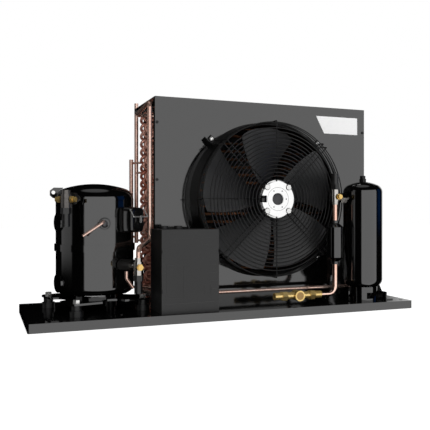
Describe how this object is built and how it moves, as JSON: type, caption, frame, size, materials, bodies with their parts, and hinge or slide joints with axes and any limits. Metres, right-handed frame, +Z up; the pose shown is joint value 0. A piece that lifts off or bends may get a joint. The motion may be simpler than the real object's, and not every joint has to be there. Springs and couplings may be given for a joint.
{
  "type": "refrigeration condensing unit",
  "caption": "Air-cooled refrigeration condensing unit: hermetic compressor, finned coil with guarded axial fan, liquid receiver and electrical box on one base tray.",
  "frame": {"origin": "on the floor under the middle of the base tray", "axes": "+X from the compressor to the receiver, -Y out of the fan (service side), +Z up"},
  "size_m": [1.1, 0.464, 0.639],
  "materials": {
    "tray": "gloss black powder coat",
    "casing": "gloss dark grey paint",
    "sheet_metal": "bright rolled sheet",
    "fin": "thin rolled fins",
    "copper": "bright drawn copper",
    "pressure_black": "gloss black enamel",
    "zinc": "bright zinc plate",
    "black_valve": "satin black",
    "brass": "turned brass",
    "lens": "clear glass",
    "iron": "as cast",
    "grommet": "moulded rubber",
    "plastic": "fine matt",
    "guard": "gloss black coated wire",
    "motor": "satin black",
    "casting": "skimmed die casting",
    "blade": "satin black"
  },
  "bodies": {
    "unit": {"base_plate": "tray", "fan_panel": "casing", "top_panel": "casing", "right_end_panel": "casing", "casing_floor": "casing", "gusset_bracket": "casing", "tube_sheets": "sheet_metal", "coil_fins": "fin", "coil_tubes": "copper", "return_bends": "copper", "coil_headers": "copper", "hot_gas_line": "copper", "liquid_line": "copper", "receiver_shell": "pressure_black", "receiver_foot": "pressure_black", "relief_plug": "zinc", "receiver_valve_body": "zinc", "receiver_valve_nut": "zinc", "receiver_gauge_cap": "brass", "drier_inlet_tube": "copper", "filter_drier": "pressure_black", "drier_outlet_tube": "copper", "sight_glass_body": "brass", "sight_glass_lens": "lens", "compressor_lower_shell": "pressure_black", "compressor_upper_shell": "pressure_black", "compressor_pump": "iron", "compressor_foot": "pressure_black", "mount_grommets": "grommet", "mount_bolts": "zinc", "lifting_eye": "zinc", "process_tube": "copper", "terminal_box": "plastic", "terminal_cover": "plastic", "suction_valve_body": "zinc", "suction_valve_nut": "zinc", "suction_gauge_caps": "brass", "discharge_valve_body": "zinc", "discharge_valve_nut": "black_valve", "discharge_gauge_cap": "brass", "service_stub": "copper", "bell_mouth": "casing", "fan_guard": "guard", "casing_screws": "zinc", "motor_stator": "casting", "motor_bolts": "zinc", "ebox_base": "plastic", "ebox_cover": "plastic", "ebox_contactor": "plastic", "ebox_glands": "plastic"},
    "fan_rotor": {"motor_rotor": "motor", "impeller": "blade"},
    "suction_cap": {"suction_stem_cap": "black_valve"},
    "suction_spindle": {"suction_spindle": "zinc"},
    "discharge_cap": {"discharge_stem_cap": "black_valve"},
    "discharge_spindle": {"discharge_spindle": "zinc"},
    "receiver_cap": {"receiver_stem_cap": "black_valve"},
    "receiver_spindle": {"receiver_spindle": "zinc"},
    "terminal_bail": {"terminal_bail": "zinc"}
  },
  "joints": [
    {"name": "fan_spin", "type": "hinge", "parent": "unit", "child": "fan_rotor", "pos_m": [0.15, 0, 0.324], "axis": [0, 1, 0], "continuous": true},
    {"name": "suction_cap_turn", "type": "hinge", "parent": "unit", "child": "suction_cap", "pos_m": [-0.455, -0.118, 0.27], "axis": [0, 0, 1], "continuous": true},
    {"name": "suction_spindle_turn", "type": "hinge", "parent": "unit", "child": "suction_spindle", "pos_m": [-0.455, -0.118, 0.29], "axis": [0, 0, 1], "range_deg": [-1440, 1440]},
    {"name": "discharge_cap_turn", "type": "hinge", "parent": "unit", "child": "discharge_cap", "pos_m": [-0.275, -0.133, 0.1], "axis": [0, 0, 1], "continuous": true},
    {"name": "discharge_spindle_turn", "type": "hinge", "parent": "unit", "child": "discharge_spindle", "pos_m": [-0.275, -0.133, 0.12], "axis": [0, 0, 1], "range_deg": [-1440, 1440]},
    {"name": "receiver_cap_turn", "type": "hinge", "parent": "unit", "child": "receiver_cap", "pos_m": [0.319, -0.115, 0.37], "axis": [0, 0, 1], "continuous": true},
    {"name": "receiver_spindle_turn", "type": "hinge", "parent": "unit", "child": "receiver_spindle", "pos_m": [0.319, -0.115, 0.35], "axis": [0, 0, 1], "range_deg": [-1440, 1440]},
    {"name": "terminal_bail_swing", "type": "hinge", "parent": "unit", "child": "terminal_bail", "pos_m": [-0.26732, -0.08793, 0.293], "axis": [0.7431, 0.6691, 0], "range_deg": [-110, 0]}
  ]
}
